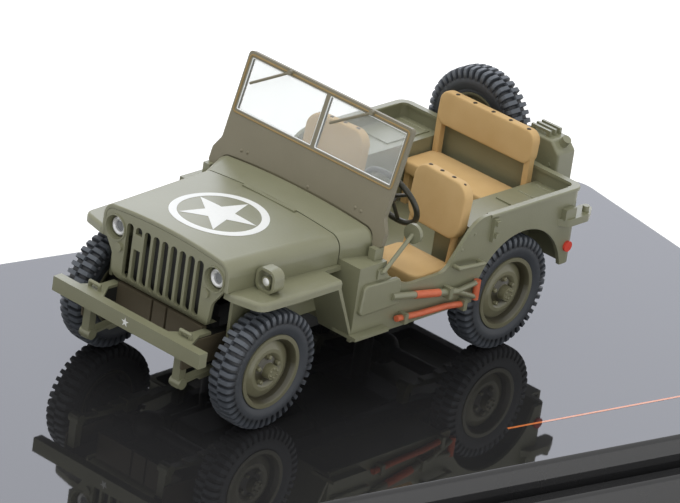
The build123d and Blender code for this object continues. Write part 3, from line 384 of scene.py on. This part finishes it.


# Styrene: clear, drawn a little milky as a painted reflection, with faint smears.
styrene = coating("clear_styrene", "#eef1f0", "#f8faf9", drift=10.0, Roughness=0.04,
                  Transmission_Weight=0.82, IOR=1.2)
cover(styrene, "windscreen_glass")
# Sealing bead: dull gold-tan, the frame's brown paint drawn lighter as a painted highlight along its edge.
bead_highlight = coating("gold_tan_bead_highlight", "#8c7549", "#9d8557", drift=1.5, Roughness=0.55)
bead_height = 10.3
edge = rounded(half_x=14.95, half_y=4.15, corner=0.5)[0]
bead_path = on_screen(edge[:, 0], edge[:, 1] + bead_height, 0.0)
bead = tube(bead_path, radius=0.13, normal=screen_out, loop=True)
piece("screen_bead", [bead], bead_highlight, "model", sharp=60.0)
# Cut edges of the panes drawn as pale lines: a painted highlight where they catch the light.
pane_edge_highlight = coating("styrene_edge_highlight", "#e6e9ea", "#f4f6f6", drift=2.0, Roughness=0.3)
pane_height = 10.35
pane_depth = -0.1
edge = rounded(half_x=7.05, half_y=3.72, corner=0.2)[0]
cuts = []
for pane_x in (-7.43, 7.43):
    cut_path = on_screen(edge[:, 0] + pane_x, edge[:, 1] + pane_height, pane_depth)
    cuts.append(tube(cut_path, radius=0.1, normal=screen_out, loop=True))
piece("pane_edge_highlights", cuts, pane_edge_highlight, "model", sharp=60.0)
head_x = np.array([-11.34, -10.23, 1.48, 10.23, 11.34])
head_height = np.array([1.65, 1.75, 1.3, 1.75, 1.65])
heads = on_screen(head_x, head_height, 0.0)
piece("screen_rivets", turned(heads, screen_out, rivet), brown_olive, "model")

# Seats: rigid tan mouldings in the shape of padded canvas, each a cushion and a back on legs, with dark
# stud heads along the back's top edge. They are pressed into the floor.
# Moulded canvas: matte warm tan with a fine nap.
canvas = coating("tan_moulded_canvas", "#c7a36c", "#d8b884", drift=4.0, grain=0.25, rise=0.06,
                 Roughness=0.75)
seat_foot = 11.6
stud = ((0.0, 0.18), (0.18, 0.15), (0.32, 0.06), (0.36, -0.05), (0.36, -0.3), (0.0, -0.3))


def pad(centre, across, up, half_x, half_y, corner, thick, crown):
    """A pad: a rounded rectangle drawn in to its middle over two crowned faces, with a half-round rim.

    Inside the edge the place is k times the edge, at the height thick / 2 + crown (1 - k^2). Round the
    rim it is the edge + e sqrt(sin p) outwards, at thick / 2 times the signed root of cos p, where the
    rim's reach e is 0.3 of the thickness.
    """
    e = 0.3 * thick
    edge, away = rounded(half_x - e, half_y - e, max(corner - e, 0.15), steps=10)
    k = np.sin(np.linspace(0, np.pi / 2, 9))[:-1]
    p = np.linspace(0, np.pi, 13)
    scale = np.concatenate([k, np.ones(len(p)), k[::-1]])[:, None, None]
    out = np.concatenate([0 * k, e * np.sqrt(np.abs(np.sin(p))), 0 * k])[:, None, None]
    rim = np.sign(np.cos(p)) * np.sqrt(np.abs(np.cos(p)))
    face = 1 + crown * (1 - k ** 2) * 2 / thick
    high = thick / 2 * np.concatenate([face, rim, -face[::-1]])[:, None, None]
    flat = scale * edge + out * away
    axes = [np.asarray(axis, float) / np.linalg.norm(axis) for axis in (across, up)]
    points = np.asarray(centre, float) + flat[..., :1] * axes[0] + flat[..., 1:] * axes[1]
    return points + high * np.cross(*axes), quads(len(scale), len(edge), wrap_cols=True)


front_lean = math.radians(6)
back_turn = 0.08
stud_y = 14.75
stud_places = ((6.9, 26.72), (9.2, 26.75), (11.6, 26.75), (13.7, 26.5))
post_y = (12.3, 12.55, 12.8, 13.15, 13.55)
post_z = (seat_foot, 13.0, 14.0, 17.0, 20.6)
leg_y = 6.2
leg_z = (seat_foot, 12.8, 13.8)
studs = []
for name, side in (("left", 1), ("right", -1)):
    cushion = pad((side * 9.75, 9.1, 13.8), (1, 0, 0), (0, 1, 0), half_x=4.85, half_y=3.9, corner=1.6,
                  thick=2.0, crown=0.12)
    back = pad((side * 10.05, 13.6, 22.64), (1, side * -back_turn, 0),
               (0, math.sin(front_lean), math.cos(front_lean)), half_x=5.25, half_y=4.15, corner=2.3,
               thick=1.7, crown=0.1)
    parts = [cushion, back]
    for x in (side * 5.8, side * 13.7):
        post = np.column_stack([np.full(len(post_y), x), post_y, post_z])
        leg = [(x, leg_y, z) for z in leg_z]
        parts += [tube(path, radius=0.5, normal=(1, 0, 0), sides=14) for path in (post, leg)]
    piece("canvas_seat_" + name, parts, canvas, "model", sharp=50.0, over=("seat_" + name,))
    tops = [(side * x, stud_y - back_turn * x, z) for x, z in stud_places]
    studs += turned(tops, (0, 0, 1), stud)
rear_lean = math.radians(4)
cushion = pad((0, 30.5, 17.5), (1, 0, 0), (0, 1, 0), half_x=9.0, half_y=3.5, corner=1.5, thick=2.0,
              crown=0.12)
back = pad((0, 34.08, 25.39), (1, 0, 0), (0, math.sin(rear_lean), math.cos(rear_lean)), half_x=9.0,
           half_y=2.55, corner=1.6, thick=1.6, crown=0.08)
parts = [cushion, back]
for x in (-8.4, 8.4):
    for y, top in ((33.8, 24.3), (28.5, 17.5)):
        leg = [(x, y, seat_foot), (x, y, (seat_foot + top) / 2), (x, y, top)]
        parts.append(tube(leg, radius=0.7, normal=(1, 0, 0), sides=4, start=np.pi / 4))
piece("canvas_rear_seat", parts, canvas, "model", sharp=50.0, over=("rear_seat",))
studs += turned([(x, 33.95, 27.9) for x in (-6.2, -2.9, 0.6, 3.9, 7.35)], (0, 0, 1), stud)
# Stud heads: dark bronze, satin.
bronze = coating("dark_bronze_studs", "#3b3226", "#4a3f30", drift=0.5, Metallic=0.6, Roughness=0.45)
piece("seat_studs", studs, bronze, "model")

# Steering wheel with its column, and the levers: moulded in dark olive-black plastic, slightly shiny,
# pressed into the fire wall and the floor.
dark_olive = coating("dark_olive_moulding", "#2b2a1f", "#38362a", drift=0.5, Roughness=0.35)
cover(dark_olive, "steering_wheel", "gear_levers")

# Tool handles: turned wood in miniature, moulded and hand-painted orange-red, slightly streaked.
# They are held to the left panel by the clamps.
handle_paint = coating("orange_handle_paint", "#c05837", "#dc7954", drift=1.2, Roughness=0.45)
cover(handle_paint, "axe_handle", "shovel_grips")

# Reflectors: discs of red transparent plastic pushed into round settings, deep red with a
# grain of small prisms behind the face.
reflector = coating("red_reflector_plastic", "#d93a2b", "#ee5541", drift=0.5, grain=0.4, rise=0.1,
                    Roughness=0.2)
cover(reflector, "reflectors")

# Rims: die-cast dished discs in a browner, shinier coat of the olive paint, each with five wheel nuts
# round its hub. The road wheels also have six small bolts on the hub cap.
# Rim paint: semi-gloss, darkened in the well inside the flange and round the hub, partly by a dark wash
# that has run there and partly as painted shade in those hollows. The darkening's stops are (radius, depth)
# pairs.
rim_reach = 5.4
wash_and_shade_stops = ((1.02, 0.0), (1.2, 1.0), (1.9, 0.8), (2.5, 0.0), (3.9, 0.1), (4.25, 1.0), (4.62, 0.75),
              (4.78, 0.2))


def rim_coat(name):
    """The rim's olive paint without the darkening in its hollows."""
    return coating(name, "#757359", "#827f65", drift=5.0, **spray_peel, IOR=1.65, Roughness=0.33)


def washed_and_shaded(name, centre, spread):
    """Rim paint darkened by distance from the axle, partly as painted shade: spread is 1 on the two axes of
    the wheel's plane.
    """
    paint = rim_coat(name)
    skin = paint.node_tree.nodes["Principled BSDF"]
    place = add(paint, "ShaderNodeTexCoord", {}).outputs["Object"]
    reach = np.array(spread) * mm_per_m / rim_reach
    centred = {"Vector": place, "Location": -row(centre) * reach, "Scale": reach}
    flat = add(paint, "ShaderNodeMapping", centred)
    away = add(paint, "ShaderNodeVectorMath", {0: flat.outputs["Vector"]}, operation="LENGTH")
    wash_and_shade = add(paint, "ShaderNodeValToRGB", {"Fac": away.outputs["Value"]})
    wash_and_shade.color_ramp.elements.remove(wash_and_shade.color_ramp.elements[1])
    for radius, depth in wash_and_shade_stops:
        wash_and_shade.color_ramp.elements.new(radius / rim_reach).color = (depth, depth, depth, 1.0)
    clean = skin.inputs["Base Color"].links[0].from_socket
    # The rim goes towards this dark brown in its hollows: partly wash, partly painted shade.
    shades = {"Factor": wash_and_shade.outputs["Color"], "A": clean, "B": linear("#2f2b1c")}
    tone = add(paint, "ShaderNodeMix", shades, data_type="RGBA")
    paint.node_tree.links.new(tone.outputs["Result"], skin.inputs["Base Color"])
    return paint


rim_paint = rim_coat("semi_gloss_olive_paint")
nut = ((0.0, 0.62), (0.2, 0.62), (0.33, 0.52), (0.35, 0.0), (0.35, -0.2), (0.0, -0.2))
bolt = ((0.0, 0.24), (0.12, 0.22), (0.2, 0.12), (0.22, 0.0), (0.22, -0.1), (0.0, -0.1))
nut_seat = 0.85
cap_face = 2.25
wheel_x = 14.25
axle_z = 8.58
half_base = 2032 / 43 / 2
spare_x, spare_y, spare_z = -5.3, 38.6, 22.8
wheels = (("front_left", 1, -half_base), ("front_right", -1, -half_base),
          ("rear_left", 1, half_base), ("rear_right", -1, half_base))


def on_circle(count, radius):
    """Even places round a circle: radius (cos t, sin t), the first straight up."""
    turn = np.pi / 2 + 2 * np.pi * np.arange(count) / count
    return radius * np.cos(turn), radius * np.sin(turn)


nut_y, nut_z = on_circle(5, radius=1.9)
bolt_y, bolt_z = on_circle(6, radius=0.65)
for name, side, y in wheels:
    cover(washed_and_shaded("washed_shaded_olive_rim_" + name, (0, y, axle_z), (0, 1, 1)), "rim_" + name)
    nuts = np.column_stack([np.full(5, side * (wheel_x + nut_seat)), y + nut_y, axle_z + nut_z])
    bolts = np.column_stack([np.full(6, side * (wheel_x + cap_face)), y + bolt_y, axle_z + bolt_z])
    parts = turned(nuts, (side, 0, 0), nut, sides=6) + turned(bolts, (side, 0, 0), bolt, sides=12)
    piece("nuts_" + name, parts, rim_paint, "wheel_" + name)
cover(washed_and_shaded("washed_shaded_olive_spare_rim", (spare_x, 0, spare_z), (1, 0, 1)), "spare_rim")
nuts = np.column_stack([spare_x + nut_y, np.full(5, spare_y + nut_seat), spare_z + nut_z])
piece("spare_nuts", turned(nuts, (0, 1, 0), nut, sides=6), rim_paint, "model")

# Tyres: soft dark blue-grey rubber with bars across both shoulders, staggered left to right and
# running in to the middle of the tread. Each is pressed onto its rim.
# Rubber: matte, dark in the grooves and paler on the bars, partly bloom and partly a painted highlight on
# the bar tops; the map's height is the bar share.
rubber = coating("blue_grey_rubber", "#26282c", "#33363a", drift=3.0, Roughness=0.5)
skin = rubber.node_tree.nodes["Principled BSDF"]
wear_and_highlight_map = add(rubber, "ShaderNodeTexCoord", {}).outputs["UV"]
bar_share = add(rubber, "ShaderNodeSeparateXYZ", {"Vector": wear_and_highlight_map}).outputs["Y"]
fresh = skin.inputs["Base Color"].links[0].from_socket
shades = {"Factor": bar_share, "A": fresh, "B": linear("#565b62")}
bloom_and_highlight = add(rubber, "ShaderNodeMix", shades, data_type="RGBA")
rubber.node_tree.links.new(bloom_and_highlight.outputs["Result"], skin.inputs["Base Color"])
bars_a_side = 44
wall_wear = 0.3
highlit_bar_radius = 7.8


def tyre_form(bars):
    """Points (along, radius, angle) of a tyre and how pale each is, partly a painted highlight on the bar
    tops: a closed outline with grooves between bars.

    Each outline point has an outer and a groove place, and the bar share of the angle (0 to 1) picks
    between them, with the right half of the tread half a pitch behind the left.
    """
    left = np.array([
        # along, radius, groove along, groove radius, half: -1 on the left tread, 0 on the plain wall
        (-1.60, 4.95, -1.60, 4.95, 0), (-1.62, 5.35, -1.62, 5.35, 0), (-1.80, 5.55, -1.80, 5.55, 0),
        (-1.92, 6.10, -1.92, 6.10, 0), (-1.97, 6.20, -1.97, 6.20, 0), (-1.97, 6.75, -1.97, 6.75, 0),
        (-1.96, 6.95, -1.93, 6.95, -1), (-2.00, 7.15, -1.72, 7.08, -1), (-1.93, 7.90, -1.56, 7.58, -1),
        (-1.70, 8.30, -1.40, 7.84, -1), (-1.30, 8.46, -1.12, 7.96, -1), (-0.60, 8.50, -0.60, 8.00, -1),
        (-0.10, 8.50, -0.10, 8.00, -1)])
    outline = np.concatenate([left, left[::-1] * [-1, 1, -1, 1, -1]])
    outer_along, outer_radius, groove_along, groove_radius, half = outline.T[:, :, None]
    steps = np.array([0.0, 0.05, 0.07, 0.12, 0.5, 0.55, 0.57, 0.62])
    pitch = (np.arange(bars)[:, None] + steps).ravel()
    phase = (pitch + np.where(half > 0, 0.5, 0.0)) % 1.0
    bar = np.interp(phase, [0.0, 0.07, 0.55, 0.62, 1.0], [0.0, 1.0, 1.0, 0.0, 0.0])
    along = groove_along + bar * (outer_along - groove_along)
    radius = groove_radius + bar * (outer_radius - groove_radius)
    # Bar tops beyond this radius are drawn paler: partly bloom, partly a painted highlight.
    wear_and_highlight = np.where(half == 0, wall_wear, bar * (outer_radius > highlit_bar_radius))
    return along, radius, np.broadcast_to(2 * np.pi * pitch / bars, radius.shape), wear_and_highlight


along, radius, turn, wear_and_highlight = tyre_form(bars_a_side)
around, above = radius * np.cos(turn), radius * np.sin(turn)
tyre_quads = quads(*along.shape, wrap_rows=True, wrap_cols=True)
treads = []
for name, side, y in wheels:
    tyre = (np.stack([side * (wheel_x + along), y + around, axle_z + above], axis=-1), tyre_quads)
    treads.append(piece("tread_" + name, [tyre], rubber, "wheel_" + name, over=("tyre_" + name,)))
tyre = (np.stack([spare_x + around, spare_y + along, spare_z + above], axis=-1), tyre_quads)
treads.append(piece("spare_tread", [tyre], rubber, "model", over=("spare_tyre",)))
for tread in treads:
    corner = np.empty(len(tread.data.loops), int)
    tread.data.loops.foreach_get("vertex_index", corner)
    spread = np.stack([turn.ravel() / (2 * np.pi), wear_and_highlight.ravel()], axis=-1)[corner]
    tread.data.uv_layers.new(name="wear").data.foreach_set("uv", spread.ravel())

# Studio: a sheet of pale paper under the plinth, an even pale world, a soft panel overhead, one at the
# side, and a wide panel behind that shows in the plinth's polish. Its places are in row-frame metres.
# Paper: plain off-white, seen a little brighter than it lights the car.
paper = bpy.data.materials.new("pale_paper_floor")
paper.use_nodes = True
paper.node_tree.nodes.clear()
floor_half = 4.0
floor_z = -0.0002


def seen_directly(owner):
    """1 for rays from the lens, from gloss and through glass, else 0."""
    path = add(owner, "ShaderNodeLightPath", {}).outputs
    first = {0: path["Is Camera Ray"], 1: path["Is Glossy Ray"]}
    either = add(owner, "ShaderNodeMath", first, operation="MAXIMUM").outputs["Value"]
    second = {0: either, 1: path["Is Transmission Ray"]}
    return add(owner, "ShaderNodeMath", second, operation="MAXIMUM").outputs["Value"]


def posed(right, up, back, place):
    """The matrix of a lamp or a lens: its own three axes as columns, then its place."""
    axes = np.column_stack([right, up, back, place])
    return Matrix(np.vstack([axes, [0.0, 0.0, 0.0, 1.0]]).tolist())


matte = add(paper, "ShaderNodeBsdfDiffuse", {"Color": linear("#f2f2f2")})
glow = add(paper, "ShaderNodeEmission", {"Color": linear("#ffffff"), "Strength": 0.35})
lifted = add(paper, "ShaderNodeAddShader", {0: matte.outputs["BSDF"], 1: glow.outputs["Emission"]})
choice = {0: seen_directly(paper), 1: matte.outputs["BSDF"], 2: lifted.outputs["Shader"]}
mix = add(paper, "ShaderNodeMixShader", choice)
add(paper, "ShaderNodeOutputMaterial", {"Surface": mix.outputs["Shader"]})
floor_x, floor_y = np.meshgrid([-floor_half, floor_half], [-floor_half, floor_half], indexing="ij")
floor_points = np.stack([floor_x, floor_y, np.full_like(floor_x, floor_z)], axis=-1).reshape(-1, 3)
floor_mesh = bpy.data.meshes.new("studio_floor")
floor_mesh.from_pydata(floor_points.tolist(), [], [(0, 2, 3, 1)])
floor_mesh.materials.append(paper)
studio_floor = bpy.data.objects.new("studio_floor", floor_mesh)
bpy.context.scene.collection.objects.link(studio_floor)

world = bpy.data.worlds.new("pale_studio")
bpy.context.scene.world = world
world.use_nodes = True
sky = world.node_tree.nodes["Background"]
sky.inputs["Color"].default_value = linear("#ffffff")
sky.inputs["Strength"].default_value = 0.5
plain = add(world, "ShaderNodeBackground", {"Color": linear("#ffffff"), "Strength": 1.0})
choice = {0: seen_directly(world), 1: sky.outputs["Background"], 2: plain.outputs["Background"]}
mix = add(world, "ShaderNodeMixShader", choice)
world.node_tree.links.new(mix.outputs["Shader"], world.node_tree.nodes["World Output"].inputs["Surface"])

aim = np.array([0.0, 0.0, 0.012])
for name, place, width, height, power, tint, mirrored in (
    ("overhead_panel", (-0.15, -0.1, 0.9), 0.9, 0.9, 4.6, "#ffffff", False),
    ("side_panel_light", (0.8, -0.5, 0.6), 0.6, 0.6, 2.0, "#ffffff", False),
    ("back_panel", (-0.70, 0.84, 0.49), 0.8, 0.55, 2.7, "#e9eeff", True),
):
    lamp = bpy.data.lights.new(name, "AREA")
    lamp.shape = "RECTANGLE"
    lamp.size = width
    lamp.size_y = height
    lamp.energy = power
    lamp.color = linear(tint)[:3]
    holder = bpy.data.objects.new(name, lamp)
    holder.visible_glossy = mirrored
    back = np.array(place) - aim
    back /= np.linalg.norm(back)
    right = np.cross([0.0, 0.0, 1.0], back)
    right /= np.linalg.norm(right)
    holder.matrix_world = posed(right, np.cross(back, right), back, place)
    bpy.context.scene.collection.objects.link(holder)

# Camera: a long lens well above the hood on the car's left front, rolled a little as the photo is.
# Its focal length is given in the photo's pixels.
turn, rise, roll = 0.699135, 0.421395, 0.146500
eye = (426.2026, -500.9993, 309.4769)
focal_pixels = 5250.689
photo_width_pixels = 680
back = np.array([math.sin(turn) * math.cos(rise), -math.cos(turn) * math.cos(rise), math.sin(rise)])
right = np.array([math.cos(turn), math.sin(turn), 0.0])
up = np.cross(back, right)
rolled_right = math.cos(roll) * right + math.sin(roll) * up
rolled_up = -math.sin(roll) * right + math.cos(roll) * up
lens = bpy.data.cameras.new("long_lens")
lens.sensor_width = 36.0
lens.lens = focal_pixels / photo_width_pixels * lens.sensor_width
lens.clip_end = 20.0
camera = bpy.data.objects.new("long_lens", lens)
camera.matrix_world = posed(rolled_right, rolled_up, back, row(eye))
bpy.context.scene.collection.objects.link(camera)
bpy.context.scene.camera = camera
bpy.context.scene.view_settings.view_transform = "Standard"
